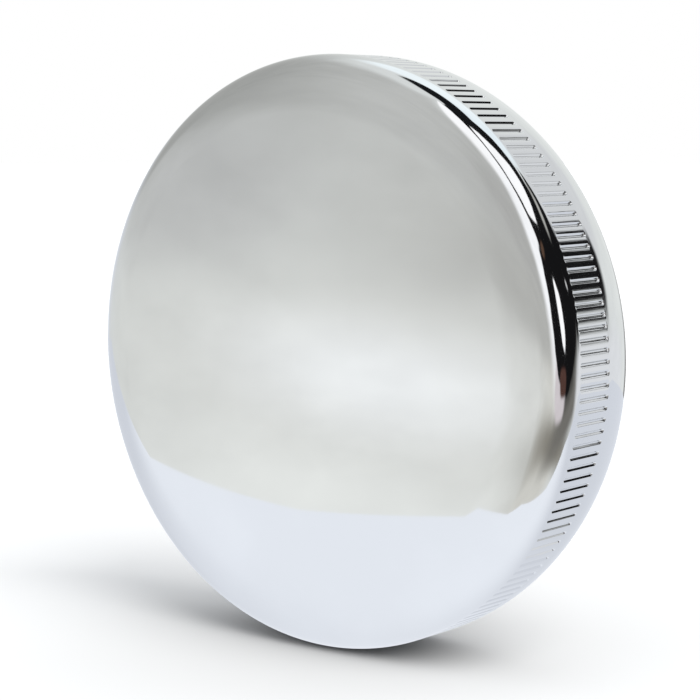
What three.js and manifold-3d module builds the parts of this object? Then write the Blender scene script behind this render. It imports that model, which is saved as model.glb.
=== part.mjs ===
// Deck fill cap: a chrome-plated twist-on filler cap with a pressure and vacuum vent.
// Millimetres. The cap stands on its knurled edge: its axis lies along Y and its face looks to -Y.
// Inside the cap group the axis is Z: z = 0 is the gasket's sealing face, +z runs out to the dome.

import * as THREE from 'three';
import { mergeGeometries, mergeVertices } from 'three/addons/utils/BufferGeometryUtils.js';
import Module from 'manifold-3d';

const wasm = await Module();
wasm.setup();

// ---------- driving dimensions ----------

const GAP = 0.3; // modelling gap between pieces that touch
const TURN = 2 * Math.PI;
const degrees = THREE.MathUtils.degToRad;

const SHELL = {
  radius: 39, // knurled band, the cap's largest radius
  sheet: 0.8,
  bandLow: 4.7, // the straight band runs from here ...
  bandHigh: 11.4, // ... to where the shoulder starts
  shoulder: 4.8, // outer radius of the rounded shoulder
  shoulderTilt: degrees(20), // slope where the shoulder ends and the easing curve starts
  easeCurve: 25, // radius that eases the shoulder into the dome
  domeTilt: degrees(9.8), // slope of the dome where it meets the easing curve
  skirtCurve: 13, // radius of the skirt's gentle inward curve
  skirtSweep: degrees(25),
  bead: 2, // outer radius of the rolled edge
  lipTop: 0.9,
};

const GROOVE = {
  count: 170,
  perFacet: 2,
  first: degrees(1.712), // the first one's place from +X
  width: 0.5,
  depth: 0.3,
  low: 5,
  high: 11.6,
};

const PLATE = {
  sheet: 0.8,
  seat: 1.2, // underside of its flange, on the shell's rolled lip
  flangeRadius: 37.4,
  rimRadius: 37.8,
  rimTop: 5,
  wallRadius: 33.4,
  top: 9, // upper face of the raised centre
  hole: 7,
};

const CUP = {
  radius: 23.5,
  sheet: 0.8,
  top: PLATE.top - PLATE.sheet - GAP,
  mouth: -6.2,
  hole: 6,
  chamfer: 0.9,
};

const LUG = {
  reach: 27.6,
  halfAngle: degrees(19),
  thickness: 1.2,
  stop: 1.2, // width of the bent stop at one end
  stopDrop: 2.2,
};

const RIVET = { shank: 1.5, head: 2.8, headHeight: 1.1, circle: 17.5, count: 4 };
const VENT = { radius: 0.9, height: 6, count: 4 };

const GASKET = { inner: 25, outer: 31.2, height: 3 };
const GASKET_PLATE = { inner: 24, outer: 32.2, sheet: 0.8, lipDepth: 1.8, lip: 0.6 };
const SLIP_WASHER = { inner: 24.6, outer: 31, height: 0.5 };
const WAVE_SPRING = { inner: 25.4, outer: 30.6, sheet: 0.5, waves: 4 };
const SNAP_RING = { inner: 23.8, outer: 24.6, height: 0.7, halfAngle: degrees(168) };

const SEAT = { radius: 22.4, port: 9, top: -3.2, sheet: 1, rimDepth: 2.8, rim: 0.8 };
const PRESSURE_SEAL = { inner: 8.6, outer: 12.4, height: 0.8 };
const PRESSURE_DISC = { hole: 3.4, outer: 13, sheet: 0.8, ribInner: 9.3, rib: 0.6, ribHeight: 1.2 };
const PRESSURE_SPRING = { radius: 8.2, wire: 1, turns: 4.5 };

const STEM = { radius: 1.5, headRadius: 6.2, headHeight: 1.2, top: 5.2, neck: 1.1 };
const VACUUM_SEAL = { inner: 2, outer: 6, height: 0.8 };
const VACUUM_SPRING = { radius: 4.4, wire: 0.6, turns: 4 };
const CLIP = { inner: 1.4, outer: 5.2, bottom: 3.3, height: 0.6 };

// heights stacked from those sizes
const gasketPlateLow = GASKET.height + GAP;
const gasketPlateTop = gasketPlateLow + GASKET_PLATE.sheet;
const slipLow = gasketPlateTop + GAP;
const slipTop = slipLow + SLIP_WASHER.height;
const waveLow = slipTop + GAP;
const waveHigh = PLATE.top - PLATE.sheet - GAP;
const webLow = CUP.top - CUP.sheet;
const pressureSealLow = SEAT.top + GAP;
const pressureSealTop = pressureSealLow + PRESSURE_SEAL.height;
const discLow = pressureSealTop + GAP;
const discTop = discLow + PRESSURE_DISC.sheet;

// ---------- materials ----------

const finish = (color, metalness, roughness) =>
  new THREE.MeshStandardMaterial({ color, metalness, roughness });

const chrome = finish(0xd9dde0, 1, 0.06);
const zinc = finish(0xb4b3a6, 1, 0.35);
const springSteel = finish(0x9a9ca0, 1, 0.3);
const brass = finish(0xc9a45a, 1, 0.3);
const rubber = finish(0x1a1a1b, 0, 0.7);
const nylon = finish(0xe6e3d8, 0, 0.5);

// ---------- shape helpers ----------

// Points (radius, height) of an arc about (r, z), from one angle to another.
function arc(r, z, radius, from, to, steps) {
  const points = [];
  for (let i = 0; i <= steps; i += 1) {
    const angle = from + ((to - from) * i) / steps;
    points.push([r + radius * Math.cos(angle), z + radius * Math.sin(angle)]);
  }
  return points;
}

// A solid of revolution about Z. A ring's outline runs anticlockwise and is closed here.
function lathe(outline, segments, closed = true) {
  const points = outline.map(([r, z]) => new THREE.Vector2(Math.max(r, 0), z));
  if (closed) points.push(points[0].clone());
  return new THREE.LatheGeometry(points, segments).rotateX(Math.PI / 2);
}

// A flat ring or collar with a rectangular section.
function ring(inner, outer, low, high, segments) {
  return lathe([[inner, low], [outer, low], [outer, high], [inner, high]], segments);
}

// Part of a flat ring, between -halfAngle and +halfAngle about +X.
function ringSector(inner, outer, low, high, halfAngle, segments) {
  const shape = new THREE.Shape();
  shape.absarc(0, 0, outer, -halfAngle, halfAngle, false);
  shape.absarc(0, 0, inner, halfAngle, -halfAngle, true);
  const options = { depth: high - low, bevelEnabled: false, curveSegments: segments };
  return new THREE.ExtrudeGeometry(shape, options).translate(0, 0, low);
}

function upright(radius, low, high, segments) {
  return new THREE.CylinderGeometry(radius, radius, high - low, segments)
    .rotateX(Math.PI / 2)
    .translate(0, 0, (low + high) / 2);
}

class Helix extends THREE.Curve {
  constructor(radius, low, high, turns) {
    super();
    Object.assign(this, { radius, low, high, turns });
  }

  getPoint(t, target = new THREE.Vector3()) {
    const angle = TURN * this.turns * t;
    const height = this.low + (this.high - this.low) * t;
    return target.set(this.radius * Math.cos(angle), this.radius * Math.sin(angle), height);
  }
}

// A coil spring that fills the height between low and high.
function coil({ radius, wire, turns }, low, high) {
  const section = new THREE.Shape();
  section.absarc(0, 0, wire / 2, 0, TURN, false);
  return new THREE.ExtrudeGeometry(section, {
    steps: Math.round(turns * 14),
    curveSegments: 3,
    bevelEnabled: false,
    extrudePath: new Helix(radius, low + wire / 2, high - wire / 2, turns),
  });
}

const copiesAround = (count, offset, make) =>
  Array.from({ length: count }, (_, i) => make().rotateZ(offset + (TURN * i) / count));

// ---------- joining and cutting ----------

function manifold(geometry) {
  const bare = geometry.clone();
  bare.deleteAttribute('normal');
  bare.deleteAttribute('uv');
  const merged = mergeVertices(bare, 1e-4);
  const triangles = [];
  for (let i = 0; i < merged.index.count; i += 3) {
    const [a, b, c] = merged.index.array.slice(i, i + 3);
    if (a !== b && b !== c && c !== a) triangles.push(a, b, c);
  }
  return new wasm.Manifold(new wasm.Mesh({
    numProp: 3,
    vertProperties: new Float32Array(merged.attributes.position.array),
    triVerts: new Uint32Array(triangles),
  }));
}

function geometryOf(solid) {
  const mesh = solid.getMesh();
  const geometry = new THREE.BufferGeometry();
  geometry.setAttribute('position', new THREE.BufferAttribute(mesh.vertProperties, 3));
  geometry.setIndex(new THREE.BufferAttribute(mesh.triVerts, 1));
  return geometry;
}

const loose = (geometry) => (geometry.index ? geometry.toNonIndexed() : geometry);

// Separate tools cut as one solid.
function cut(solid, tools) {
  return solid.subtract(manifold(mergeGeometries(tools.map(loose))));
}

// ---------- the pieces ----------

function outerShell() {
  const { radius, sheet, shoulder, shoulderTilt, easeCurve, domeTilt } = SHELL;
  const { skirtCurve, skirtSweep, bead } = SHELL;
  const shoulderCentre = radius - shoulder;
  const shoulderEnd = Math.PI / 2 - shoulderTilt;
  const easeCentre = shoulderCentre - (easeCurve - shoulder) * Math.sin(shoulderTilt);
  const easeHeight = SHELL.bandHigh - (easeCurve - shoulder) * Math.cos(shoulderTilt);
  const easeEnd = Math.PI / 2 - domeTilt;
  const domeRadius = easeCurve + easeCentre / Math.sin(domeTilt);
  const domeCentre = easeHeight - (domeRadius - easeCurve) * Math.cos(domeTilt);
  const skirtCentre = radius - skirtCurve;
  const beadCentre = skirtCentre + (skirtCurve - bead) * Math.cos(skirtSweep);
  const beadHeight = SHELL.bandLow - (skirtCurve - bead) * Math.sin(skirtSweep);

  // one face of the sheet, from the rolled lip to the dome's centre: inset is its depth, and
  // the step counts are those of its bead, skirt, shoulder and dome
  const face = (inset, [beadSteps, skirtSteps, shoulderSteps, domeSteps]) => [
    [beadCentre - bead + inset, SHELL.lipTop],
    ...arc(beadCentre, beadHeight, bead - inset, -Math.PI, -skirtSweep, beadSteps),
    ...arc(skirtCentre, SHELL.bandLow, skirtCurve - inset, -skirtSweep, 0, skirtSteps).slice(1),
    ...arc(shoulderCentre, SHELL.bandHigh, shoulder - inset, 0, shoulderEnd, shoulderSteps),
    ...arc(easeCentre, easeHeight, easeCurve - inset, shoulderEnd, easeEnd, 1).slice(1),
    ...arc(0, domeCentre, domeRadius - inset, easeEnd, Math.PI / 2, domeSteps).slice(1),
  ];
  const outline = [...face(sheet, [3, 1, 2, 2]).reverse(), ...face(0, [5, 2, 4, 2])];
  const facets = GROOVE.count / GROOVE.perFacet;
  const body = manifold(lathe(outline, facets, false));

  // the facets' flats lie a little inside the band's radius
  const flat = radius * Math.cos(Math.PI / facets);
  const cutter = () =>
    new THREE.BoxGeometry(2 * GROOVE.depth, GROOVE.width, GROOVE.high - GROOVE.low)
      .translate(flat, 0, (GROOVE.low + GROOVE.high) / 2);
  const halfPitch = Math.PI / GROOVE.count;
  const fluted = cut(body, copiesAround(GROOVE.count, halfPitch, cutter));
  return geometryOf(fluted).rotateZ(GROOVE.first - halfPitch);
}

// Stamped carrier plate, pressed into the skirt and held by the shell's rolled lip.
function innerPlate() {
  const { sheet, seat, flangeRadius, rimRadius, rimTop, wallRadius, top, hole } = PLATE;
  const body = manifold(lathe([
    [wallRadius - sheet, seat], [flangeRadius, seat], [rimRadius, rimTop],
    [rimRadius - sheet, rimTop], [flangeRadius - sheet, seat + sheet], [wallRadius, seat + sheet],
    [wallRadius, top], [hole, top], [hole, top - sheet], [wallRadius - sheet, top - sheet],
  ], 60));
  return geometryOf(cut(body, rivetHoles(top - sheet, top)));
}

function rivetHoles(low, high) {
  const hole = () => upright(RIVET.shank + GAP, low - 1, high + 1, 10)
    .translate(RIVET.circle, 0, 0);
  return copiesAround(RIVET.count, Math.PI / RIVET.count, hole);
}

// Drawn cup whose two bayonet lugs catch under the filler neck's cam.
function lockingCup() {
  const { radius, sheet, top, mouth, hole, chamfer } = CUP;
  const inside = radius - sheet;
  const drawn = manifold(lathe([
    [inside, mouth], [radius, mouth], [radius, top - chamfer], [radius - chamfer, top],
    [hole, top], [hole, webLow], [inside, webLow],
  ], 48));
  const lugRoot = radius - sheet / 2;
  const lug = () => ringSector(
    lugRoot, LUG.reach, mouth, mouth + LUG.thickness, LUG.halfAngle, 4,
  );
  const stopLength = LUG.reach - lugRoot;
  const stop = () => new THREE.BoxGeometry(stopLength, LUG.stop, LUG.stopDrop + LUG.thickness)
    .translate(lugRoot + stopLength / 2, -LUG.stop / 2, mouth + (LUG.thickness - LUG.stopDrop) / 2)
    .rotateZ(LUG.halfAngle);
  const vent = () => upright(VENT.radius, -2 * sheet, 2 * sheet, 8)
    .rotateY(Math.PI / 2)
    .translate(radius - sheet / 2, 0, VENT.height);
  let body = drawn;
  for (const piece of [...copiesAround(2, 0, lug), ...copiesAround(2, 0, stop)]) {
    body = body.add(manifold(piece));
  }
  body = cut(body, rivetHoles(webLow, top));
  return geometryOf(cut(body, copiesAround(VENT.count, 0, vent)));
}

// Rivet through the plate and the cup's web, with its own origin on the plate's upper face.
function rivet() {
  const { shank, head, headHeight } = RIVET;
  const low = webLow - GAP - PLATE.top;
  return lathe([
    [0, low - headHeight], [head * 0.7, low - headHeight], [head, low - headHeight / 2],
    [head, low], [shank, low], [shank, GAP],
    [head, GAP], [head, GAP + headHeight / 2], [head * 0.7, GAP + headHeight],
    [0, GAP + headHeight],
  ], 12, false);
}

const gasket = () => ring(GASKET.inner, GASKET.outer, 0, GASKET.height, 48);

function gasketPlate() {
  const { inner, outer, lip, lipDepth } = GASKET_PLATE;
  const lipLow = gasketPlateLow - lipDepth;
  return lathe([
    [inner, gasketPlateLow], [outer - lip, gasketPlateLow], [outer - lip, lipLow],
    [outer, lipLow], [outer, gasketPlateTop], [inner, gasketPlateTop],
  ], 48);
}

const slipWasher = () => ring(SLIP_WASHER.inner, SLIP_WASHER.outer, slipLow, slipTop, 48);

// Flat washer whose height follows a cosine around its circle.
function waveSpring() {
  const { inner, outer, sheet, waves } = WAVE_SPRING;
  const middle = (waveLow + waveHigh) / 2;
  const swing = (waveHigh - waveLow - sheet) / 2;
  const geometry = ring(inner, outer, middle - sheet / 2, middle + sheet / 2, 64);
  const points = geometry.attributes.position;
  for (let i = 0; i < points.count; i += 1) {
    const angle = Math.atan2(points.getY(i), points.getX(i));
    points.setZ(i, points.getZ(i) + swing * Math.cos(waves * angle));
  }
  return geometry;
}

function snapRing() {
  const { inner, outer, height, halfAngle } = SNAP_RING;
  return ringSector(inner, outer, gasketPlateLow - GAP - height, gasketPlateLow - GAP, halfAngle, 20);
}

// Pressed-in cover of the cup's mouth, with the port that the pressure disc closes.
function valveSeat() {
  const { radius, port, top, sheet, rimDepth, rim } = SEAT;
  return lathe([
    [radius - rim, top - rimDepth], [radius, top - rimDepth], [radius, top],
    [port, top], [port, top - sheet], [radius - rim, top - sheet],
  ], 40);
}

function pressureSeal() {
  return ring(PRESSURE_SEAL.inner, PRESSURE_SEAL.outer, pressureSealLow, pressureSealTop, 32);
}

// Disc with a raised rib that centres the pressure spring.
function pressureDisc() {
  const { hole, outer, ribInner, rib, ribHeight } = PRESSURE_DISC;
  return lathe([
    [hole, discLow], [outer, discLow], [outer, discTop], [ribInner + rib, discTop],
    [ribInner + rib, discTop + ribHeight], [ribInner, discTop + ribHeight],
    [ribInner, discTop], [hole, discTop],
  ], 36);
}

const pressureSpring = () => coil(PRESSURE_SPRING, discTop + GAP, webLow - GAP);

function vacuumSeal() {
  const top = discLow - GAP;
  return ring(VACUUM_SEAL.inner, VACUUM_SEAL.outer, top - VACUUM_SEAL.height, top, 24);
}

// Poppet: its head closes the disc's centre hole from below, its neck holds the clip.
function vacuumStem() {
  const { radius, headRadius, headHeight, top, neck } = STEM;
  const headTop = discLow - GAP - VACUUM_SEAL.height - GAP;
  const neckLow = CLIP.bottom - GAP;
  const neckTop = CLIP.bottom + CLIP.height + GAP;
  return lathe([
    [0, headTop - headHeight], [headRadius * 0.8, headTop - headHeight],
    [headRadius, headTop - headHeight / 2], [headRadius, headTop], [radius, headTop],
    [radius, neckLow], [neck, neckLow], [neck, neckTop], [radius, neckTop],
    [radius, top], [0, top],
  ], 24, false);
}

const vacuumSpring = () => coil(VACUUM_SPRING, discTop + GAP, CLIP.bottom - GAP);

const vacuumClip = () =>
  ring(CLIP.inner, CLIP.outer, CLIP.bottom, CLIP.bottom + CLIP.height, 24);

// ---------- assembly ----------

const cap = new THREE.Group();

function add(name, geometry, material) {
  const mesh = new THREE.Mesh(geometry, material);
  mesh.name = name;
  cap.add(mesh);
  return mesh;
}

add('outer_shell', outerShell(), chrome);
add('inner_plate', innerPlate(), zinc);
add('locking_cup', lockingCup(), zinc);
for (let i = 0; i < RIVET.count; i += 1) {
  const angle = (TURN * (i + 0.5)) / RIVET.count;
  const placed = add(`rivet_${i + 1}`, rivet(), zinc);
  placed.position.set(
    RIVET.circle * Math.cos(angle),
    RIVET.circle * Math.sin(angle),
    PLATE.top,
  );
}
add('wave_spring', waveSpring(), springSteel);
add('slip_washer', slipWasher(), nylon);
add('gasket_plate', gasketPlate(), zinc);
add('gasket', gasket(), rubber);
add('snap_ring', snapRing(), springSteel);
add('valve_seat', valveSeat(), zinc);
add('pressure_seal', pressureSeal(), rubber);
add('pressure_disc', pressureDisc(), brass);
add('pressure_spring', pressureSpring(), springSteel);
add('vacuum_seal', vacuumSeal(), rubber);
add('vacuum_stem', vacuumStem(), brass);
add('vacuum_spring', vacuumSpring(), springSteel);
add('vacuum_clip', vacuumClip(), springSteel);

// stand the cap on its knurled edge, face to -Y
cap.rotation.x = Math.PI / 2;

const object = new THREE.Group();
object.add(cap);

export default object;
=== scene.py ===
"""Deck fill cap: the looks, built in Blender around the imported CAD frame.

Everything is in metres in the row frame, with the cap's axis along Y and its dome towards -Y.
Outlines are written as (radius, height) in millimetres: height 0 is the gasket's sealing face
and +height runs out to the dome.
"""

import math

import bpy
from mathutils import Matrix, Vector


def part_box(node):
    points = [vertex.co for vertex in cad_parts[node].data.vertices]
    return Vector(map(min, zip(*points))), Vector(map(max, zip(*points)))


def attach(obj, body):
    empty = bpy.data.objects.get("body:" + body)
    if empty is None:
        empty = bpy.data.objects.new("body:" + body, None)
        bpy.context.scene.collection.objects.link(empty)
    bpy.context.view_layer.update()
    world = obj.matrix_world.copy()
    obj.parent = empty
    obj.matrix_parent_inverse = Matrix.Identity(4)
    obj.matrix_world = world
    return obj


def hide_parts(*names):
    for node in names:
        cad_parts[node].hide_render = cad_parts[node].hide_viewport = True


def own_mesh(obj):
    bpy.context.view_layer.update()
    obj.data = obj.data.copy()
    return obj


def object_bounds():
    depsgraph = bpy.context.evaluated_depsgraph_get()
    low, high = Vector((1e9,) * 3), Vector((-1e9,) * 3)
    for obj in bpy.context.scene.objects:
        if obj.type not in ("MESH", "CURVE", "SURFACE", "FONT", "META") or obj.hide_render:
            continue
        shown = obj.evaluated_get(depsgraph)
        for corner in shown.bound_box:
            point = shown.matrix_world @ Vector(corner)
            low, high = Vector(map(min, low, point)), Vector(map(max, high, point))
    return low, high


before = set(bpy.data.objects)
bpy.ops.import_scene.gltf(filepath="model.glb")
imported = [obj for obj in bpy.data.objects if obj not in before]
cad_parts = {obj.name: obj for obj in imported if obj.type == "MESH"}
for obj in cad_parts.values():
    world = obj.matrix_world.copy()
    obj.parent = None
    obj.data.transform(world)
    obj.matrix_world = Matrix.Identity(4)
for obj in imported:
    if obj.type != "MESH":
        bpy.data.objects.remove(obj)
cad_low, cad_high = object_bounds()

MM = 0.001
TURN = 2 * math.pi
ON_AXIS = 1e-6
FLOOR = cad_low.z

# ---------- the shell's driving dimensions, in millimetres ----------

SHELL_RADIUS = min(-cad_low.x, cad_high.x, -cad_low.z, cad_high.z) / MM
SHELL_SHEET = 0.8
BAND_LOW, BAND_HIGH = 4.7, 11.4
SHOULDER = 4.8
SHOULDER_TILT = math.radians(20)
EASE_CURVE = 25
DOME_TILT = math.radians(9.8)
SKIRT_CURVE = 13
SKIRT_SWEEP = math.radians(25)
BEAD = 2
LIP_TOP = 0.9

FLUTES = 170
FLUTE_HALF_WIDTH = 0.33
# half the flat floor's width, and the share of each wall that its foot and its brow each round
FLUTE_FLOOR = 0.07
FLUTE_EASE = 0.18
FLUTE_DEPTH = 0.18
FLUTE_LOW, FLUTE_HIGH = 5, 11.6
FLUTE_PHASE = math.radians(5.947)
FLUTE_CLEARANCE = 0.15
LAND_CROWN = 0.06
BAND_MIDDLE = (FLUTE_LOW + FLUTE_HIGH) / 2
BAND_HALF = (FLUTE_HIGH - FLUTE_LOW) / 2

# ---------- the pieces inside, in millimetres ----------

SHEET = 0.8
RIVETS, BREATHERS = 4, 4
RIVET_CIRCLE, RIVET_SHANK = 17.5, 1.5


# ---------- node trees ----------


class Graph:
    """A node tree with short calls that add nodes and join them."""

    def __init__(self, tree):
        self.tree = tree
        tree.nodes.clear()

    def node(self, kind, inputs=None, **settings):
        made = self.tree.nodes.new(kind)
        for name, value in settings.items():
            setattr(made, name, value)
        for socket, value in (inputs or {}).items():
            self.put(made.inputs[socket], value)
        return made

    def put(self, socket, value):
        if isinstance(value, bpy.types.NodeSocket):
            self.tree.links.new(value, socket)
        else:
            socket.default_value = value

    def math(self, operation, *values):
        made = self.node("ShaderNodeMath", operation=operation)
        for socket, value in zip(made.inputs, values):
            self.put(socket, value)
        return made.outputs[0]

    def mix(self, factor, a, b):
        """A colour between a and b."""
        made = self.node("ShaderNodeMix", data_type="RGBA")
        for socket, value in zip((made.inputs[0], made.inputs[6], made.inputs[7]), (factor, a, b)):
            self.put(socket, value)
        return made.outputs[2]

    def ramp(self, value, low, high, to_low=0.0, to_high=1.0, smooth=True):
        """value carried from low..high to to_low..to_high, without overshoot."""
        kind = "SMOOTHSTEP" if smooth else "LINEAR"
        names = ("Value", "From Min", "From Max", "To Min", "To Max")
        inputs = dict(zip(names, (value, low, high, to_low, to_high)))
        return self.node("ShaderNodeMapRange", inputs, interpolation_type=kind).outputs[0]

    def noise(self, vector, scale, detail=2.0, roughness=0.5):
        inputs = {"Vector": vector, "Scale": scale, "Detail": detail, "Roughness": roughness}
        return self.node("ShaderNodeTexNoise", inputs).outputs[0]


def level(red, green, blue, gain=1.0):
    """A linear colour from 8-bit display levels."""

    def linear(value):
        share = value / 255
        return share / 12.92 if share <= 0.04045 else ((share + 0.055) / 1.055) ** 2.4

    return tuple(gain * linear(v) for v in (red, green, blue)) + (1.0,)


def new_material(name):
    material = bpy.data.materials.new(name)
    material.use_nodes = True
    return material, Graph(material.node_tree)


def surface(graph, shader):
    graph.node("ShaderNodeOutputMaterial", {"Surface": shader.outputs[0]})


# ---------- piece materials ----------

CHROME_COLOUR = level(226, 227, 229)


def place_on_piece(g):
    """The point on the piece in the row frame at rest, which stays with it as it moves."""
    return g.node("ShaderNodeTexCoord").outputs["Object"]


def stretched(g, place, across, axial):
    """Texture coordinates that run finely across the cap's axis and coarsely along it."""
    scale = (across, axial, across)
    return g.node("ShaderNodeVectorMath", {0: place, 1: scale}, operation="MULTIPLY").outputs[0]


def rings_of(g, place, per_metre):
    """A wave of concentric rings about the cap's axis, as a lathe leaves them."""
    parts = g.node("ShaderNodeSeparateXYZ", {0: place}).outputs
    squares = [g.math("MULTIPLY", part, part) for part in (parts[0], parts[2])]
    radius = g.math("SQRT", g.math("ADD", *squares))
    wobble = g.math("MULTIPLY", g.noise(place, 300.0), 3.0)
    return g.math("SINE", g.math("MULTIPLY_ADD", radius, per_metre, wobble))


def finish(name, colour, roughness, height=None, bump=(0.1, 0.0001), **more):
    """A Principled material from a colour, a roughness and, where given, a relief."""
    material, g = new_material(name)
    place = place_on_piece(g)
    inputs = {"Base Color": colour(g, place), "Roughness": roughness(g, place), **more}
    if height:
        relief = {"Height": height(g, place), "Strength": bump[0], "Distance": bump[1]}
        inputs["Normal"] = g.node("ShaderNodeBump", relief).outputs[0]
    surface(g, g.node("ShaderNodeBsdfPrincipled", inputs))
    return material


def blotched(scale, dark, light, low=0.35, high=0.65):
    """A colour that drifts between two over blotches of a given scale per metre."""
    return lambda g, place: g.mix(g.ramp(g.noise(place, scale, 4.0), low, high), dark, light)


def varied(scale, low, high):
    """A roughness that drifts between two values."""
    return lambda g, place: g.ramp(g.noise(place, scale, 3.0), 0.35, 0.65, low, high)


def chrome():
    """Bright decorative chrome: a mirror with polishing haze, and roller marks on its band."""

    def roller_marks(g, place):
        streaks = g.noise(stretched(g, place, 1.0, 0.04), 9000.0, 2.0)
        height = g.node("ShaderNodeSeparateXYZ", {0: place}).outputs[1]
        from_middle = g.math("ABSOLUTE", g.math("ADD", height, BAND_MIDDLE * MM))
        on_band = g.ramp(from_middle, (BAND_HALF + 0.1) * MM, (BAND_HALF - 0.3) * MM)
        marks = g.math("MULTIPLY", streaks, on_band)
        return g.math("MULTIPLY_ADD", g.noise(place, 700.0), 0.12, marks)

    return finish(
        "chrome",
        blotched(40.0, level(222, 223, 225), CHROME_COLOUR),
        varied(60.0, 0.04, 0.07),
        roller_marks,
        (0.25, 0.000018),
        Metallic=1.0,
    )


def zinc():
    """Bright zinc plating over pressed steel, faintly yellow, with a fine matt grain."""

    def grain(g, place):
        return g.math("MULTIPLY_ADD", g.noise(place, 5000.0, 3.0), 0.7, g.noise(place, 900.0))

    return finish(
        "zinc_plate",
        blotched(160.0, level(184, 184, 176), level(206, 205, 194)),
        varied(220.0, 0.3, 0.44),
        grain,
        (0.22, 0.00003),
        Metallic=1.0,
    )


def spring_steel():
    """Drawn wire, with lines along it."""

    def drawn(g, place):
        return g.noise(stretched(g, place, 0.3, 1.0), 6000.0, 3.0)

    return finish(
        "spring_steel",
        blotched(400.0, level(128, 130, 136), level(170, 171, 174)),
        varied(500.0, 0.2, 0.36),
        drawn,
        (0.2, 0.00003),
        Metallic=1.0,
    )


def brass():
    """Turned brass with fine rings."""

    def turned(g, place):
        return rings_of(g, place, 26000.0)

    return finish(
        "brass",
        blotched(250.0, level(196, 158, 92), level(220, 186, 120)),
        varied(300.0, 0.18, 0.34),
        turned,
        (0.12, 0.00002),
        Metallic=1.0,
    )


def rubber():
    """Matt black rubber with a moulded skin."""

    def moulded(g, place):
        return g.math("MULTIPLY_ADD", g.noise(place, 2600.0, 4.0), 0.6, g.noise(place, 600.0))

    return finish(
        "rubber",
        blotched(180.0, level(24, 24, 25), level(44, 44, 45), 0.4, 0.75),
        varied(350.0, 0.5, 0.72),
        moulded,
        (0.35, 0.00005),
    )


def nylon():
    """Natural nylon, faintly yellow."""
    return finish(
        "nylon",
        blotched(200.0, level(222, 218, 204), level(236, 233, 222)),
        varied(300.0, 0.38, 0.52),
        lambda g, place: g.noise(place, 1500.0, 3.0),
        (0.15, 0.00003),
    )


# ---------- meshes of revolution ----------


def spoke(angle, radial, axial, across=0.0):
    """A cylindrical vector as a vector in the row frame."""
    c, s = math.cos(angle), math.sin(angle)
    return Vector((radial * c - across * s, -axial, radial * s + across * c))


def arc(r, z, radius, start, end, steps, facing=1):
    """(radius, height, radial normal, axial normal) along an arc about (r, z)."""
    points = []
    for i in range(steps + 1):
        a = start + (end - start) * i / steps
        c, s = math.cos(a), math.sin(a)
        points.append((r + radius * c, z + radius * s, facing * c, facing * s))
    return points


class Skin:
    """Gathers rings of points with their normals, and stitches each to the one before."""

    def __init__(self):
        self.points, self.normals, self.faces = [], [], []
        self.last = None

    def ring(self, members):
        """members are (point, normal) pairs: one for a pole, or a whole number of times more
        or fewer than in the ring before."""
        first = len(self.points)
        for point, normal in members:
            self.points.append(point * MM)
            self.normals.append(normal.normalized())
        now = list(range(first, len(self.points)))
        if self.last:
            self.stitch(self.last, now)
        self.last = now

    def stitch(self, a, b):
        n = min(len(a), len(b))
        if n == 1:
            n = max(len(a), len(b))
        for i in range(n):
            low, high = self.span(a, i, n), self.span(b, i, n)
            self.faces.append(low + high[::-1])

    @staticmethod
    def span(ring, i, n):
        if len(ring) == 1:
            return list(ring)
        step = len(ring) // n
        return [ring[(i * step + k) % len(ring)] for k in range(step + 1)]

    def piece(self, name, material):
        mesh = bpy.data.meshes.new(name)
        mesh.from_pydata(self.points, [], self.faces)
        mesh.polygons.foreach_set("use_smooth", [True] * len(mesh.polygons))
        mesh.normals_split_custom_set_from_vertices(self.normals)
        mesh.materials.append(material)
        made = bpy.data.objects.new(name, mesh)
        bpy.context.scene.collection.objects.link(made)
        return made


# ---------- the outer shell ----------


def flute_offsets():
    """Distances from a flute's centre line, denser where its wall curves, out to the land."""
    wall, ease = FLUTE_HALF_WIDTH - FLUTE_FLOOR, FLUTE_EASE
    shares = (0, ease / 2, ease, 0.5, 1 - ease, 1 - ease / 2, 1)
    turns = [FLUTE_FLOOR + wall * share for share in shares]
    return [0.0] + turns + [FLUTE_HALF_WIDTH + FLUTE_CLEARANCE]


def clamped(t):
    return min(max(t, 0.0), 1.0)


def smooth(t):
    t = clamped(t)
    return t * t * (3 - 2 * t)


def wall_share(t):
    """0 to 1 up a straight wall whose foot and brow are rounded."""
    t, ease = clamped(t), FLUTE_EASE
    if t < ease:
        return t * t / (2 * ease * (1 - ease))
    if t > 1 - ease:
        return 1 - (1 - t) ** 2 / (2 * ease * (1 - ease))
    return (t - ease / 2) / (1 - ease)


def band_depth(across, height):
    """How far the pressing sinks at a distance across from a flute's centre line: the flute
    with its rounded ends, and the slight crown of the land beside it."""
    low, high = FLUTE_LOW + FLUTE_HALF_WIDTH, FLUTE_HIGH - FLUTE_HALF_WIDTH
    beyond = max(low - height, height - high, 0)
    distance = math.hypot(across, beyond)
    wall = wall_share((distance - FLUTE_FLOOR) / (FLUTE_HALF_WIDTH - FLUTE_FLOOR))
    half_pitch = math.pi * SHELL_RADIUS / FLUTES
    from_crest = (half_pitch - abs(across)) / half_pitch
    crown = LAND_CROWN * from_crest**2 * (1 - smooth(beyond / FLUTE_HALF_WIDTH))
    return FLUTE_DEPTH * (1 - wall) + crown


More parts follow.
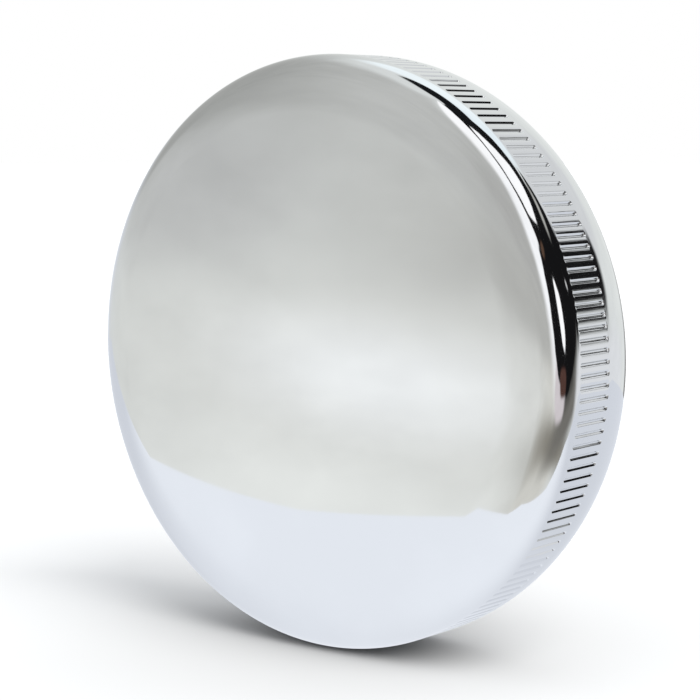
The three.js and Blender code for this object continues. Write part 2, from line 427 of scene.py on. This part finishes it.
def fluted_ring(radius, height, radial, axial):
    """One ring of the knurled band: (point, normal) for every column of every flute."""
    pitch = TURN / FLUTES
    offsets = flute_offsets()
    crest = pitch * SHELL_RADIUS / 2
    columns = offsets + [crest] + [-s for s in offsets[:0:-1]]
    step = 1e-4  # for slopes
    shape = []
    for i, s in enumerate(columns):
        depth = band_depth(s, height)
        across = (band_depth(abs(s) + step, height) - depth) / step if 0 < abs(s) < crest else 0.0
        along = (band_depth(s, height + step) - band_depth(s, height - step)) / (2 * step)
        turn = pitch if i > len(offsets) else 0.0
        shape.append((turn + s / SHELL_RADIUS, depth, math.copysign(across, s * across), along))
    members = []
    for i in range(FLUTES):
        for turn, depth, across, along in shape:
            angle = FLUTE_PHASE + i * pitch + turn
            point = spoke(angle, radius - depth * radial, height - depth * axial)
            # the normal leans towards where the surface sinks
            normal = spoke(angle, radial - along * axial, axial + along * radial, across)
            members.append((point, normal))
    return members


def plain_ring(columns, radius, height, radial, axial):
    if radius < ON_AXIS:
        return [(spoke(0, 0, height), spoke(0, 0, axial))]
    members = []
    for i in range(columns):
        angle = FLUTE_PHASE + TURN * i / columns
        members.append((spoke(angle, radius, height), spoke(angle, radial, axial)))
    return members


def shell_profile(inset, steps):
    """One face of the sheet from the dome's centre to the rolled lip, in the dome, the arc that
    eases it into the shoulder, the shoulder, the skirt and the bead. inset is its depth."""
    facing = -1 if inset else 1
    upright = math.pi / 2
    curves = []

    def sweep(r, z, radius, start, end):
        curves.append(arc(r, z, radius - inset, start, end, steps[len(curves)], facing))

    shoulder_at = SHELL_RADIUS - SHOULDER
    ease_at = shoulder_at - (EASE_CURVE - SHOULDER) * math.sin(SHOULDER_TILT)
    ease_height = BAND_HIGH - (EASE_CURVE - SHOULDER) * math.cos(SHOULDER_TILT)
    dome_radius = EASE_CURVE + ease_at / math.sin(DOME_TILT)
    dome_height = ease_height - (dome_radius - EASE_CURVE) * math.cos(DOME_TILT)
    sweep(0, dome_height, dome_radius, upright, upright - DOME_TILT)
    sweep(ease_at, ease_height, EASE_CURVE, upright - DOME_TILT, upright - SHOULDER_TILT)
    sweep(shoulder_at, BAND_HIGH, SHOULDER, upright - SHOULDER_TILT, 0)

    skirt_at = SHELL_RADIUS - SKIRT_CURVE
    bead_at = skirt_at + (SKIRT_CURVE - BEAD) * math.cos(SKIRT_SWEEP)
    bead_height = BAND_LOW - (SKIRT_CURVE - BEAD) * math.sin(SKIRT_SWEEP)
    sweep(skirt_at, BAND_LOW, SKIRT_CURVE, 0, -SKIRT_SWEEP)
    sweep(bead_at, bead_height, BEAD, -SKIRT_SWEEP, -math.pi)
    dome, ease, shoulder, skirt, bead = curves
    return dome + ease[1:], shoulder[1:], skirt, bead[1:]


def outer_shell():
    """The pressed, fluted and rolled chrome shell."""
    coarse, plain_from = 2 * FLUTES, FLUTE_HIGH + FLUTE_CLEARANCE
    dome, shoulder, skirt, bead = shell_profile(0, (14, 14, 30, 9, 18))
    rings = [plain_ring(coarse, *row) for row in dome]
    rings += [plain_ring(coarse, *row) for row in shoulder if row[1] > plain_from]

    offsets = flute_offsets()[:-1]
    low, high = FLUTE_LOW + FLUTE_HALF_WIDTH, FLUTE_HIGH - FLUTE_HALF_WIDTH
    heights = [high + s for s in offsets[::-1]]
    heights += [low + (high - low) * share for share in (0.75, 0.5, 0.25)]
    heights += [low - s for s in offsets]
    for height in heights:
        lean = max(0.0, height - BAND_HIGH) / SHOULDER
        radial = math.sqrt(1 - lean * lean)
        radius = SHELL_RADIUS - SHOULDER * (1 - radial)
        rings.append(fluted_ring(radius, height, radial, lean))

    rings += [plain_ring(coarse, *row) for row in skirt + bead]
    lip_at, lip_radius = bead[-1][0] + SHELL_SHEET / 2, SHELL_SHEET / 2
    lip = arc(lip_at, LIP_TOP - lip_radius, lip_radius, math.pi, 0, 6)
    rings += [plain_ring(coarse, *row) for row in lip]

    dome, shoulder, skirt, bead = shell_profile(SHELL_SHEET, (6, 3, 8, 3, 8))
    inside = dome + shoulder + skirt + bead
    rings += [plain_ring(FLUTES, *row) for row in inside[::-1]]

    skin = Skin()
    for ring in rings[::-1]:
        skin.ring(ring)
    made = skin.piece("v_outer_shell", FINISHES["chrome"])
    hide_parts("outer_shell")
    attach(made, "cap")
    return made


# ---------- the pieces inside ----------


def extent(node):
    """A CAD node's outer radius and its lowest and highest height, in millimetres."""
    low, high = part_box(node)
    return max(high.x, high.z) / MM, -high.y / MM, -low.y / MM


def filleted(corners, radius, steps=4):
    """The closed outline through these (radius, height) corners, with each rounded off.
    A corner may carry its own fillet radius as a third number."""
    outline = []
    count = len(corners)
    for i, corner in enumerate(corners):
        here = Vector(corner[:2])
        before = Vector(corners[i - 1][:2]) - here
        after = Vector(corners[(i + 1) % count][:2]) - here
        fillet = corner[2] if len(corner) > 2 else radius
        if here.x < ON_AXIS or fillet <= 0:
            outline.append(tuple(here))
            continue
        half = before.angle(after) / 2
        reach = min(fillet / math.tan(half), 0.45 * before.length, 0.45 * after.length)
        fillet = reach * math.tan(half)
        middle = (before.normalized() + after.normalized()).normalized()
        centre = here + middle * fillet / math.sin(half)
        first = here + before.normalized() * reach - centre
        last = here + after.normalized() * reach - centre
        sweep = first.angle_signed(last)
        for k in range(steps + 1):
            turned = first.copy()
            turned.rotate(Matrix.Rotation(-sweep * k / steps, 2))
            outline.append(tuple(centre + turned))
    return outline


def turned_solid(outline, columns, at=(0.0, 0.0), lift=None):
    """A solid of revolution about the cap's axis, or about a line parallel to it at (x, z).
    lift raises a point's height by its angle."""
    points, faces, rings = [], [], []
    for r, height in outline:
        ring = []
        for i in range(columns if r > ON_AXIS else 1):
            angle = TURN * i / columns
            raised = height + (lift(angle) if lift else 0.0)
            ring.append(len(points))
            points.append((spoke(angle, r, raised) + Vector((at[0], 0, at[1]))) * MM)
        rings.append(ring)
    if outline[0][0] > ON_AXIS:
        rings.append(rings[0])
    for a, b in zip(rings, rings[1:]):
        for i in range(columns):
            j = (i + 1) % columns
            corners = [a[i % len(a)], a[j % len(a)], b[j % len(b)], b[i % len(b)]]
            faces.append(list(dict.fromkeys(corners)))
    return points, faces


def swept_sector(outline, start, end, columns):
    """Part of a solid of revolution between two angles, with flat ends."""
    points, faces = [], []
    size = len(outline)
    for i in range(columns + 1):
        angle = start + (end - start) * i / columns
        points += [spoke(angle, r, height) * MM for r, height in outline]
    for i in range(columns):
        for k in range(size):
            m = (k + 1) % size
            low, high = i * size, (i + 1) * size
            faces.append([low + k, high + k, high + m, low + m])
    faces.append(list(range(size)))
    faces.append(list(range(columns * size, (columns + 1) * size))[::-1])
    return points, faces


def coil(radius, wire, turns, low, high, sides=14, per_turn=48):
    """A round-wire compression spring with closed end turns."""
    points, faces = [], []
    steps = round(turns * per_turn)
    rise = high - low - wire
    closed = wire * 1.04
    free = rise - 2 * closed
    for i in range(steps + 1):
        turn = turns * i / steps
        height = low + wire / 2 + closed * min(turn, 1) + closed * max(turn - turns + 1, 0)
        along = clamped((turn - 0.8) / (turns - 1.6))
        height += free * (along + smooth(along)) / 2
        angle = TURN * turn
        for k in range(sides):
            a = TURN * k / sides
            r = radius + wire / 2 * math.cos(a)
            points.append(spoke(angle, r, height + wire / 2 * math.sin(a)) * MM)
    for i in range(steps):
        for k in range(sides):
            m = (k + 1) % sides
            low_at, high_at = i * sides, (i + 1) * sides
            faces.append([low_at + k, high_at + k, high_at + m, low_at + m])
    faces.append(list(range(sides)))
    faces.append(list(range(steps * sides, (steps + 1) * sides))[::-1])
    return points, faces


def rough_object(name, points, faces):
    mesh = bpy.data.meshes.new(name)
    mesh.from_pydata(points, [], faces)
    mesh.validate()
    made = bpy.data.objects.new(name, mesh)
    bpy.context.scene.collection.objects.link(made)
    return made


def combined(made, others, operation):
    """made joined to or cut by the others, which are used up."""
    for other in others:
        change = made.modifiers.new("change", "BOOLEAN")
        change.object, change.operation, change.solver = other, operation, "EXACT"
    flatten(made)
    for other in others:
        bpy.data.objects.remove(other)


def flatten(made):
    """The modifiers' result becomes the mesh."""
    depsgraph = bpy.context.evaluated_depsgraph_get()
    mesh = bpy.data.meshes.new_from_object(made.evaluated_get(depsgraph), depsgraph=depsgraph)
    made.modifiers.clear()
    made.data = mesh


def placed(made, node, body, slot, smooth_below=40):
    """Shades a piece, gives it its finish, and sets it in for its CAD node."""
    mesh = made.data
    mesh.materials.clear()
    mesh.materials.append(FINISHES[slot])
    mesh.polygons.foreach_set("use_smooth", [True] * len(mesh.polygons))
    mesh.polygons.foreach_set("material_index", [0] * len(mesh.polygons))
    mesh.set_sharp_from_angle(angle=math.radians(smooth_below))
    made.modifiers.new("flats", "WEIGHTED_NORMAL").keep_sharp = True
    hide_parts(node)
    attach(made, body)
    return made


def turned_piece(node, corners, body, slot, fillet=0.12, columns=160, **more):
    """A solid of revolution that stands for a node, from the corners of its outline."""
    outline = filleted(corners, fillet)
    made = rough_object("v_" + node, *turned_solid(outline, columns, **more))
    return placed(made, node, body, slot)


def box_outline(inner, outer, low, high):
    return [(inner, low), (outer, low), (outer, high), (inner, high)]


def rivet_cutters(low, high):
    """Round cutters a little wider than the rivets' shanks."""
    cutters = []
    for i in range(RIVETS):
        angle = TURN * (i + 0.5) / RIVETS
        at = (RIVET_CIRCLE * math.cos(angle), RIVET_CIRCLE * math.sin(angle))
        outline = box_outline(0, RIVET_SHANK + 0.2, low, high)
        cutters.append(rough_object("cutter", *turned_solid(outline, 32, at)))
    return cutters


def inner_plate():
    """The pressed carrier plate, with its holes for the rivets."""
    rim, low, high = extent("inner_plate")
    flange, wall, rim_top, hole = rim - 0.4, 33.4, 5, 7
    corners = [
        (wall - SHEET, low, 0.15),
        (flange, low, 0.8),
        (rim, rim_top, 0.15),
        (rim - SHEET, rim_top, 0.15),
        (flange - SHEET, low + SHEET, 0.5),
        (wall, low + SHEET, 0.5),
        (wall, high, 1.1),
        (hole, high, 0.15),
        (hole, high - SHEET, 0.15),
        (wall - SHEET, high - SHEET, 0.5),
    ]
    made = rough_object("v_inner_plate", *turned_solid(filleted(corners, 0.2), 192))
    combined(made, rivet_cutters(high - 2, high + 1), "DIFFERENCE")
    placed(made, "inner_plate", "cap", "zinc_plate")


def locking_cup():
    """The drawn cup, with two bayonet lugs, their bent stops and four breather holes."""
    reach, stop_low, top = extent("locking_cup")
    radius, mouth, hole = 23.5, -6.2, 6
    lug_top, half = mouth + 1.2, math.radians(19)
    wall = [
        (radius - SHEET, mouth, 0.15),
        (radius, mouth, 0.15),
        (radius, top, 1.3),
        (hole, top, 0.15),
        (hole, top - SHEET, 0.15),
        (radius - SHEET, top - SHEET, 0.6),
    ]
    made = rough_object("v_locking_cup", *turned_solid(filleted(wall, 0.2), 192))
    root = radius - SHEET / 2
    lug = filleted(box_outline(root, reach, mouth + 0.01, lug_top), 0.0)
    stop = filleted(box_outline(root + 0.05, reach - 0.02, stop_low, lug_top - 0.02), 0.0)
    stop_turn = 1.2 / reach
    added = []
    for side in (0, math.pi):
        stop_at = side + half - 0.002
        for name, outline, start, end, columns in (
            ("lug", lug, side - half, side + half, 24),
            ("stop", stop, stop_at - stop_turn, stop_at, 3),
        ):
            added.append(rough_object(name, *swept_sector(outline, start, end, columns)))
    combined(made, added, "UNION")
    holes = rivet_cutters(top - 2, top + 1)
    for i in range(BREATHERS):
        holes.append(breather(TURN * i / BREATHERS, radius))
    combined(made, holes, "DIFFERENCE")
    edge = made.modifiers.new("edge", "BEVEL")
    edge.width, edge.segments, edge.angle_limit = 0.1 * MM, 2, math.radians(60)
    flatten(made)
    placed(made, "locking_cup", "cap", "zinc_plate")


def breather(angle, radius, size=0.9, height=6.0):
    """A round cutter through the cup's wall."""
    points, faces = [], []
    sides = 28
    for depth in (radius - 2, radius + 1):
        for k in range(sides):
            a = TURN * k / sides
            across, up = size * math.cos(a), size * math.sin(a)
            points.append(spoke(angle, depth, height + up, across) * MM)
    for k in range(sides):
        m = (k + 1) % sides
        faces.append([k, m, sides + m, sides + k])
    faces.append(list(range(sides))[::-1])
    faces.append(list(range(sides, 2 * sides)))
    return rough_object("cutter", points, faces)


def rivets():
    """Solid rivets with a shallow dome at both ends."""
    for i in range(RIVETS):
        node = f"rivet_{i + 1}"
        low_corner, high_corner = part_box(node)
        centre = (low_corner + high_corner) / 2 / MM
        low, high = -high_corner.y / MM, -low_corner.y / MM
        head, rise = (high_corner.x - low_corner.x) / 2 / MM, 1.1
        corners = [
            (0, low),
            (head * 0.6, low, 0.8),
            (head, low + rise * 0.55, 0.5),
            (head, low + rise, 0.1),
            (RIVET_SHANK, low + rise, 0.1),
            (RIVET_SHANK, high - rise, 0.1),
            (head, high - rise, 0.1),
            (head, high - rise * 0.55, 0.5),
            (head * 0.6, high, 0.8),
            (0, high),
        ]
        turned_piece(node, corners, "cap", "zinc_plate", columns=40, at=(centre.x, centre.z))


def gasket():
    """Rubber ring whose sealing face carries the shallow mark of the filler neck."""
    outer, low, high = extent("gasket")
    inner, mark, depth = 25, (27.0, 29.4), 0.14
    corners = [
        (inner, low, 0.35),
        (mark[0], low, 0.3),
        (mark[0] + 0.25, low + depth, 0.3),
        (mark[1] - 0.25, low + depth, 0.3),
        (mark[1], low, 0.3),
        (outer, low, 0.35),
        (outer, high, 0.35),
        (inner, high, 0.35),
    ]
    turned_piece("gasket", corners, "gasket_ring", "rubber", columns=192)


def gasket_plate():
    """Pressed tray that the gasket sits in."""
    outer, low, high = extent("gasket_plate")
    inner, lip, base = 24, 0.6, high - SHEET
    corners = [
        (inner, base),
        (outer - lip, base, 0.4),
        (outer - lip, low),
        (outer, low),
        (outer, high, 0.7),
        (inner, high),
    ]
    turned_piece("gasket_plate", corners, "gasket_ring", "zinc_plate", columns=192)


def washers():
    """The plain rings: slip washer, seals and the vacuum valve's clip."""
    for node, inner, body, slot, fillet in (
        ("slip_washer", 24.6, "gasket_lift", "nylon", 0.12),
        ("pressure_seal", 8.6, "pressure_valve", "rubber", 0.22),
        ("vacuum_seal", 2.0, "vacuum_valve", "rubber", 0.22),
        ("vacuum_clip", 1.4, "vacuum_valve", "spring_steel", 0.12),
    ):
        outer, low, high = extent(node)
        turned_piece(node, box_outline(inner, outer, low, high), body, slot, fillet)


def snap_ring():
    """Ring with a gap of 24 degrees."""
    outer, low, high = extent("snap_ring")
    outline = filleted(box_outline(23.8, outer, low, high), 0.15)
    half = math.radians(168)
    made = rough_object("v_snap_ring", *swept_sector(outline, -half, half, 160))
    placed(made, "snap_ring", "cap", "spring_steel")


def wave_spring():
    """Flat washer whose height follows a cosine round its circle."""
    outer, low, high = extent("wave_spring")
    inner, sheet, waves = 25.4, 0.5, 4
    middle, swing = (low + high) / 2, (high - low - sheet) / 2
    made = turned_piece(
        "wave_spring",
        box_outline(inner, outer, middle - sheet / 2, middle + sheet / 2),
        "cap",
        "spring_steel",
        fillet=0.1,
        columns=224,
        lift=lambda angle: swing * math.cos(waves * angle),
    )
    squash_spring(made)


def squash_spring(made):
    """The spring's modifiers become its mesh, and it gets a mesh of its own."""
    flatten(made)
    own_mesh(made)


def coil_springs():
    """Each row: node, body, joint, wire, turns, and whether its high end is the held one."""
    for node, body, joint, wire, turns, held_high in (
        ("pressure_spring", "cap", "pressure_valve_slide", 1.0, 4.5, True),
        ("vacuum_spring", "pressure_valve", "vacuum_valve_slide", 0.6, 4.0, False),
    ):
        outer, low, high = extent(node)
        made = rough_object("v_" + node, *coil(outer - wire / 2, wire, turns, low, high))
        placed(made, node, body, "spring_steel")
        squash_spring(made)


def valve_seat():
    """Pressed cover of the cup's mouth, with the port and a groove round it."""
    outer, low, high = extent("valve_seat")
    port, rim, sheet, groove = 9, 0.8, 1.0, (12.5, 14.5)
    under = high - sheet
    corners = [
        (outer - rim, low, 0.3),
        (outer, low, 0.3),
        (outer, high, 0.6),
        (port, high, 0.25),
        (port, under, 0.3),
        (groove[0], under, 0.4),
        (groove[0] + 0.4, under + 0.3, 0.4),
        (groove[1] - 0.4, under + 0.3, 0.4),
        (groove[1], under, 0.4),
        (outer - rim, under, 0.6),
    ]
    turned_piece("valve_seat", corners, "cap", "zinc_plate", columns=160)


def pressure_disc():
    """Disc with a raised rib that centres the pressure spring."""
    outer, low, high = extent("pressure_disc")
    hole, rib_inner, rib = 3.4, 9.3, 0.6
    top = low + SHEET
    corners = [
        (hole, low),
        (outer, low),
        (outer, top),
        (rib_inner + rib, top, 0.2),
        (rib_inner + rib, high),
        (rib_inner, high),
        (rib_inner, top, 0.2),
        (hole, top),
    ]
    turned_piece("pressure_disc", corners, "pressure_valve", "brass", columns=128)


def vacuum_stem():
    """Poppet with a domed head and a necked shank for its clip."""
    head, low, high = extent("vacuum_stem")
    shank, neck, head_top = 1.5, 1.1, low + 1.2
    neck_low, neck_high = high - 2.2, high - 1.0
    corners = [
        (0, low),
        (head * 0.8, low, 0.4),
        (head, low + 0.6, 0.3),
        (head, head_top),
        (shank, head_top, 0.2),
        (shank, neck_low, 0.1),
        (neck, neck_low, 0.1),
        (neck, neck_high, 0.1),
        (shank, neck_high, 0.1),
        (shank, high, 0.35),
        (0, high),
    ]
    turned_piece("vacuum_stem", corners, "vacuum_valve", "brass", columns=72)


# ---------- studio ----------


def glossy_only(thing):
    """Seen in reflections alone, so that it shapes the chrome and nothing else."""
    for name in ("camera", "diffuse", "shadow", "transmission", "volume_scatter"):
        setattr(thing, "visible_" + name, False)


def flat_sheet(name, corners, height, material):
    """A level sheet that isn't part of the object."""
    mesh = bpy.data.meshes.new(name)
    mesh.from_pydata([(x, y, height) for x, y in corners], [], [range(len(corners))])
    mesh.materials.append(material)
    made = bpy.data.objects.new(name, mesh)
    bpy.context.scene.collection.objects.link(made)
    return made


def matt(name, colour):
    material, g = new_material(name)
    shader = g.node("ShaderNodeBsdfDiffuse", {"Color": colour})
    surface(g, shader)
    return material


# ---------- the room that the chrome mirrors ----------


def patch(centre, half, square, blur, slant, shade):
    """A rounded patch: its centre and half size in degrees of azimuth and elevation (azimuth 0
    is -Y and 90 is +X), how square it is, the share of it that its edge blurs, the elevation
    that it gains per degree of azimuth, and its display level."""

    def inside(g, azimuth, elevation):
        turned = g.math("WRAP", g.math("SUBTRACT", azimuth, centre[0]), 180.0, -180.0)
        raised = g.math("SUBTRACT", elevation, centre[1])
        raised = g.math("MULTIPLY_ADD", turned, -slant, raised)
        away = 0.0
        for offset, reach in zip((turned, raised), half):
            share = g.math("ABSOLUTE", g.math("DIVIDE", offset, reach))
            away = g.math("ADD", g.math("POWER", share, square), away)
        away = g.math("POWER", away, 1 / square)
        return g.ramp(away, 1 + blur / 2, 1 - blur / 2)

    return inside, shade


def polygon(corners, blur, shade):
    """A convex shape through corners of azimuth and elevation, which run anticlockwise, with the
    width in degrees that its edge blurs, and its display level."""

    def inside(g, azimuth, elevation):
        away = -180.0
        for (x0, y0), (x1, y1) in zip(corners, corners[1:] + corners[:1]):
            length = math.hypot(x1 - x0, y1 - y0)
            across, up = (y1 - y0) / length, (x0 - x1) / length
            beyond = g.math("MULTIPLY_ADD", azimuth, across, -(x0 * across + y0 * up))
            beyond = g.math("MULTIPLY_ADD", elevation, up, beyond)
            away = g.math("SMOOTH_MAX", away, beyond, 1.0)
        return g.ramp(away, blur / 2, -blur / 2)

    return inside, shade


ROOM_RADIUS, BACKDROP_RADIUS = 4.0, 3.9

# the strength that makes up for what the chrome takes, and the share that it throws on the floor
ROOM_GAIN = 1 / CHROME_COLOUR[0]
SPILL = 0.05

CARD = (230, 234, 240)
# the card's painted shade, where it darkens under and behind the cap
CARD_SHADE_BEHIND = (205, 209, 216)
# the card's corners, in millimetres
CARD_OUTLINE = (
    (-420, 220),
    (-420, -52),
    (-100, -57),
    (-35, -59),
    (12, -72),
    (47, -43),
    (64, -15),
    (95, 8),
    (160, 110),
    (160, 220),
)

ROOM_BASE = (214, 217, 215)
BLACK = (20, 20, 21)
WHITE = (255, 255, 255)
ROOM = (
    # white flat over the right front
    patch((45, 82), (42, 36), 3.0, 0.25, -0.55, WHITE),
    # the grey cloth of the tent, with its shade
    patch((-35, 0), (102, 74), 2.2, 0.2, 0.0, (180, 181, 178)),
    patch((-92, 26), (40, 24), 2.0, 1.2, 0.0, (160, 161, 158)),
    patch((-15, 45), (26, 40), 2.0, 1.2, 0.0, (188, 189, 186)),
    patch((30, 24), (34, 22), 2.0, 1.1, 0.0, (172, 172, 169)),
    # pale backdrop and table in front
    patch((-112, -12), (52, 20), 2.0, 0.8, 0.0, (206, 210, 216)),
    patch((-130, -5), (13, 8), 2.0, 0.8, 0.0, (240, 243, 245)),
    patch((25, -24), (60, 26), 4.0, 0.6, 0.0, (204, 203, 196)),
    patch((-44, -12), (50, 24), 2.5, 0.9, 0.0, (212, 214, 210)),
    patch((-24, -17), (36, 9), 2.0, 1.0, 0.0, (230, 232, 228)),
    patch((18, 5), (44, 9), 2.5, 1.2, 0.0, (176, 176, 172)),
    patch((-60, 9), (20, 8), 2.0, 1.3, 0.0, (186, 187, 185)),
    patch((-16, -8), (44, 7), 2.0, 1.7, -0.04, (213, 214, 210)),
    patch((-28, -8), (17, 4.5), 2.0, 1.7, -0.1, (237, 239, 238)),
    # brown-grey shade that runs to the dark opening
    patch((72, -27), (64, 7), 2.0, 1.4, -0.1, (136, 133, 124)),
    patch((100, -17), (42, 10), 2.0, 1.1, 0.28, (112, 110, 105)),
    # pale things behind on the right
    patch((150, -14), (26, 16), 2.5, 0.6, 0.0, (216, 218, 220)),
    patch((165, 30), (20, 14), 2.5, 0.6, 0.0, (206, 208, 209)),
    patch((172, 56), (27, 14), 2.5, 0.5, 0.0, (232, 242, 246)),
    patch((-158, 56), (28, 14), 2.0, 0.6, 0.0, (240, 248, 250)),
    patch((57, 26), (13, 34), 2.0, 0.9, 0.0, (246, 247, 248)),
    # the dim far wall
    patch((-156, -8), (13, 10), 2.0, 0.8, 0.0, (112, 110, 108)),
    # the pale crescent at the opening's foot
    patch((73, -9.5), (17, 11), 2.5, 0.3, 0.0, (205, 198, 200)),
    # the dark opening, its shade below on the right, and the frame of its upper window
    polygon(((86, -17), (104, -13), (126, -2), (144, 7), (146, 30), (86, 30)), 9.0, (66, 65, 62)),
    polygon(
        (
            (55.5, 9),
            (57, 0),
            (62, -6),
            (75, -11),
            (92, -13),
            (104, -9),
            (125, 2),
            (144, 11),
            (147, 30),
            (150, 47),
            (71, 34),
            (65, 30.5),
            (59, 22),
        ),
        1.8,
        BLACK,
    ),
    polygon(
        (
            (70.5, 30),
            (146, 30),
            (150, 47),
            (158, 62),
            (167, 68.5),
            (167, 84),
            (120, 88),
            (95, 86.5),
            (77, 83),
            (71.5, 76),
        ),
        1.5,
        BLACK,
    ),
    patch((172, 76.5), (62, 8.5), 4.0, 0.2, 0.0, (22, 23, 25)),
    polygon(((134, 0), (146, 3), (153, 10), (156, 17), (156, 22), (150, 27), (134, 28)), 6.0, BLACK),
    # bright windows in it, and what stands there
    polygon(
        (
            (77, 44),
            (83, 42),
            (93, 40.5),
            (118, 50),
            (125, 56.5),
            (122, 62),
            (113, 73.5),
            (105, 76.5),
            (95, 77),
            (85, 74.5),
            (78, 68),
        ),
        1.2,
        WHITE,
    ),
    polygon(
        (
            (77, 10),
            (80, 3.5),
            (84.5, 0.5),
            (88.5, 3),
            (90.5, 9),
            (90, 18),
            (85, 23.5),
            (80.5, 22),
            (77.5, 16),
        ),
        1.2,
        WHITE,
    ),
    patch((130, 39), (10, 3.4), 2.5, 0.9, 0.42, (170, 170, 165)),
    patch((124.5, 18), (3.2, 1.4), 2.0, 0.6, -0.2, (190, 190, 190)),
    patch((77, 32), (6, 2), 2.0, 0.8, 0.35, (85, 66, 54)),
    patch((79, -8.5), (9.5, 4.5), 3.0, 0.4, 0.0, (80, 57, 51)),
)


def room_colour(g):
    """The room's colour in each direction, with wavy edges and the folds of its cloth."""
    place = g.node("ShaderNodeTexCoord").outputs["Object"]
    unit = g.node("ShaderNodeVectorMath", {0: place}, operation="NORMALIZE").outputs[0]
    parts = g.node("ShaderNodeSeparateXYZ", {0: unit}).outputs
    ripple = g.math("SUBTRACT", g.noise(unit, 9.0, 3.0), 0.5)
    to_degrees = 180 / math.pi
    back = g.math("MULTIPLY", parts[1], -1.0)
    azimuth = g.math("MULTIPLY", g.math("ARCTAN2", parts[0], back), to_degrees)
    azimuth = g.math("MULTIPLY_ADD", ripple, 5.0, azimuth)
    elevation = g.math("MULTIPLY", g.math("ARCSINE", parts[2]), to_degrees)

    colour = level(*ROOM_BASE)
    for inside, shade in ROOM:
        colour = g.mix(inside(g, azimuth, elevation), colour, level(*shade))
    flat = g.node("ShaderNodeVectorMath", {0: unit, 1: (1.0, 1.0, 3.0)}, operation="MULTIPLY")
    folds = g.ramp(g.noise(flat.outputs[0], 5.0, 4.0, 0.6), 0.3, 0.7, 0.95, 1.03, smooth=False)
    return g.node("ShaderNodeVectorMath", {0: colour, 1: folds}, operation="MULTIPLY").outputs[0]


def sphere(name, radius, material):
    """A sphere round everything, which isn't part of the object."""
    skin = Skin()
    rows = 24
    for i in range(rows + 1):
        a = math.pi * i / rows
        r, z = math.sin(a) * radius / MM, math.cos(a) * radius / MM
        skin.ring(plain_ring(48, r, z, -math.sin(a), -math.cos(a)))
    made = skin.piece(name, material)
    return made


def emission(name, colour, strength):
    material, g = new_material(name)
    surface(g, g.node("ShaderNodeEmission", {"Color": colour, "Strength": strength}))
    return material


def mirrored_only(g, colour):
    """An emission that is full in the chrome, and nearly none where the chrome would throw it on
    the floor, which the lamp and the world light."""
    bounces = g.node("ShaderNodeLightPath").outputs["Diffuse Depth"]
    strength = g.ramp(bounces, 0.0, 1.0, ROOM_GAIN, SPILL * ROOM_GAIN)
    surface(g, g.node("ShaderNodeEmission", {"Color": colour, "Strength": strength}))


def paper_card():
    """White card seen in the chrome alone: it glows as lit paper, with painted shade under and
    behind the cap.
    """
    material, g = new_material("paper")
    place = g.node("ShaderNodeTexCoord").outputs["Object"]
    parts = g.node("ShaderNodeSeparateXYZ", {0: place}).outputs
    # painted shade: the card darkens further back and to the left
    backwards = g.math("MULTIPLY_ADD", parts[0], -0.3, parts[1])
    behind = g.ramp(backwards, -30 * MM, 5 * MM)
    mirrored_only(g, g.mix(behind, level(*CARD), level(*CARD_SHADE_BEHIND)))
    return material


def room():
    material, g = new_material("room_light")
    mirrored_only(g, room_colour(g))
    glossy_only(sphere("room", ROOM_RADIUS, material))


def studio():
    """White floor for the camera, a white sheet for the reflections, and soft light."""
    corners = [(-10, -10), (10, -10), (10, 10), (-10, 10)]
    floor = flat_sheet("floor", corners, FLOOR, matt("floor", (0.86, 0.86, 0.86, 1)))
    floor.visible_glossy = False
    corners = [(x * MM, y * MM) for x, y in CARD_OUTLINE]
    glossy_only(flat_sheet("paper", corners, FLOOR + 0.05 * MM, paper_card()))
    room()

    white = emission("backdrop", (1, 1, 1, 1), 1.0)
    backdrop = sphere("backdrop", BACKDROP_RADIUS, white)
    for name in ("diffuse", "glossy", "shadow", "transmission", "volume_scatter"):
        setattr(backdrop, "visible_" + name, False)

    world = bpy.data.worlds.new("studio")
    bpy.context.scene.world = world
    world.use_nodes = True
    g = Graph(world.node_tree)
    light = g.node("ShaderNodeBackground", {"Color": (0.95, 0.975, 1.0, 1), "Strength": 0.9})
    g.node("ShaderNodeOutputWorld", {"Surface": light.outputs[0]})

    soft_light("window", (0.68, -0.2, 0.66), 2.1, 48, (1.0, 0.99, 0.97))


def soft_light(name, towards, strength, spread, colour):
    """Even light from one direction, as wide as a large window, that no mirror sees."""
    data = bpy.data.lights.new(name, "SUN")
    data.energy, data.angle, data.color = strength, math.radians(spread), colour
    lamp = bpy.data.objects.new(name, data)
    lamp.rotation_euler = Vector(towards).to_track_quat("Z", "Y").to_euler()
    lamp.visible_glossy = False
    bpy.context.scene.collection.objects.link(lamp)


def camera():
    """At the photograph's angle and distance, aimed a little beside the cap's middle."""
    azimuth, elevation = math.radians(38.68), math.radians(6.10)
    distance, beside, below = 275.7, 1.232, 0.055
    level_back = Vector((math.sin(azimuth), -math.cos(azimuth), 0))
    back = level_back * math.cos(elevation) + Vector((0, 0, math.sin(elevation)))
    right = Vector((math.cos(azimuth), math.sin(azimuth), 0))
    up = back.cross(right)
    target = Vector((0, -5, 0)) - beside * right - below * up
    data = bpy.data.cameras.new("camera")
    data.sensor_width, data.lens = 36, 106.07
    data.clip_start = 0.01
    made = bpy.data.objects.new("camera", data)
    made.location = (target + distance * back) * MM
    made.rotation_mode = "QUATERNION"
    made.rotation_quaternion = (-back).to_track_quat("-Z", "Y")
    bpy.context.scene.collection.objects.link(made)
    bpy.context.scene.camera = made


FINISHES = {
    "chrome": chrome(),
    "zinc_plate": zinc(),
    "spring_steel": spring_steel(),
    "brass": brass(),
    "rubber": rubber(),
    "nylon": nylon(),
}
camera()
studio()
outer_shell()
inner_plate()
locking_cup()
rivets()
gasket()
gasket_plate()
washers()
snap_ring()
wave_spring()
coil_springs()
valve_seat()
pressure_disc()
vacuum_stem()

bpy.context.scene.view_settings.view_transform = "Standard"
bpy.context.view_layer.update()
